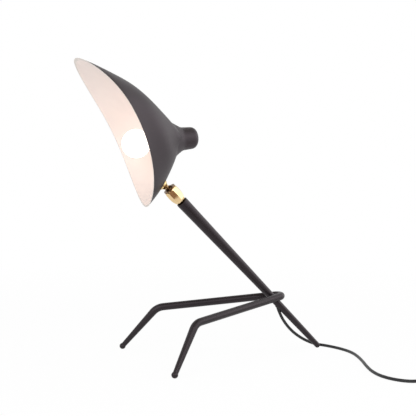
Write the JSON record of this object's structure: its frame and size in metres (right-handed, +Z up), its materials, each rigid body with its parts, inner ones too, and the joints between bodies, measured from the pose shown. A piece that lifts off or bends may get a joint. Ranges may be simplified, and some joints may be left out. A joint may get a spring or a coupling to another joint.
{
  "type": "adjustable desk lamp",
  "caption": "Desk lamp with a shell shade on a ball swivel, a slanting tapered stem that is its rear leg, a bent rod as its front legs, and a switched cord.",
  "frame": {"origin": "on the floor, at the middle of the lamp's box without its cord", "axes": "+X towards the rear foot, +Y across the two front feet, +Z up"},
  "size_m": [0.6318, 0.4552, 0.4803],
  "materials": {
    "black_paint": "satin black coating",
    "shade_paint": "satin black outside, matt white inside",
    "brass": "polished",
    "dark_brass": "darkened",
    "friction_plastic": "moulded",
    "steel": "plated",
    "holder_plastic": "moulded",
    "contact_brass": "plain",
    "cap_metal": "satin",
    "opal_glass": "opal",
    "cord_plastic": "soft, satin",
    "grommet_rubber": "moulded",
    "black_plastic": "moulded",
    "pin_metal": "plated"
  },
  "bodies": {
    "stand": {"stem_tube": "black_paint", "rear_foot_tip": "black_paint", "front_foot_far": "black_paint", "front_foot_near": "black_paint", "leg_hoop": "black_paint", "hoop_braze": "black_paint", "stem_top_plug": "black_paint", "swivel_socket": "brass", "swivel_ring": "dark_brass", "disc_spring": "steel", "stem_lead": "cord_plastic", "cord_grommet": "grommet_rubber", "cord_to_switch": "cord_plastic", "cord_to_coil": "cord_plastic", "cord_coil": "cord_plastic", "cord_to_plug": "cord_plastic", "switch_base": "black_plastic", "switch_cover": "black_plastic", "switch_screws": "steel", "switch_terminals": "contact_brass", "switch_lever": "contact_brass", "cord_tie": "black_plastic", "plug_body": "black_plastic", "plug_pins": "pin_metal"},
    "swivel_cup": {"swivel_cup": "friction_plastic"},
    "swivel_ball": {"swivel_ball": "dark_brass"},
    "head": {"shade_neck": "brass", "shade_shell": "shade_paint", "neck_saddle_washer": "steel", "neck_lock_nut": "steel", "holder_boss": "steel", "holder_nipple": "steel", "holder_lock_nut": "steel", "holder_base": "holder_plastic", "holder_sleeve": "holder_plastic", "holder_screw_shell": "contact_brass", "holder_contact": "contact_brass", "bulb_cap": "cap_metal", "bulb_contact": "contact_brass", "bulb_globe": "opal_glass", "head_lead": "cord_plastic"},
    "switch_rocker": {"switch_rocker": "black_plastic"}
  },
  "joints": [
    {"name": "head_pan", "type": "hinge", "parent": "stand", "child": "swivel_cup", "pos_m": [-0.05845, 0, 0.27554], "axis": [-0.7046, 0, 0.7096], "range_deg": [-170, 170]},
    {"name": "head_tilt", "type": "hinge", "parent": "swivel_cup", "child": "swivel_ball", "pos_m": [-0.05845, 0, 0.27554], "axis": [0, 1, 0], "range_deg": [-16, 42]},
    {"name": "head_spin", "type": "hinge", "parent": "swivel_ball", "child": "head", "pos_m": [-0.05845, 0, 0.27554], "axis": [-0.848, 0, 0.5299], "range_deg": [-170, 170]},
    {"name": "switch_rock", "type": "hinge", "parent": "stand", "child": "switch_rocker", "pos_m": [0.2796, -0.31277, 0.013], "axis": [0.1644, 0.9864, 0], "range_deg": [0, 16]}
  ]
}
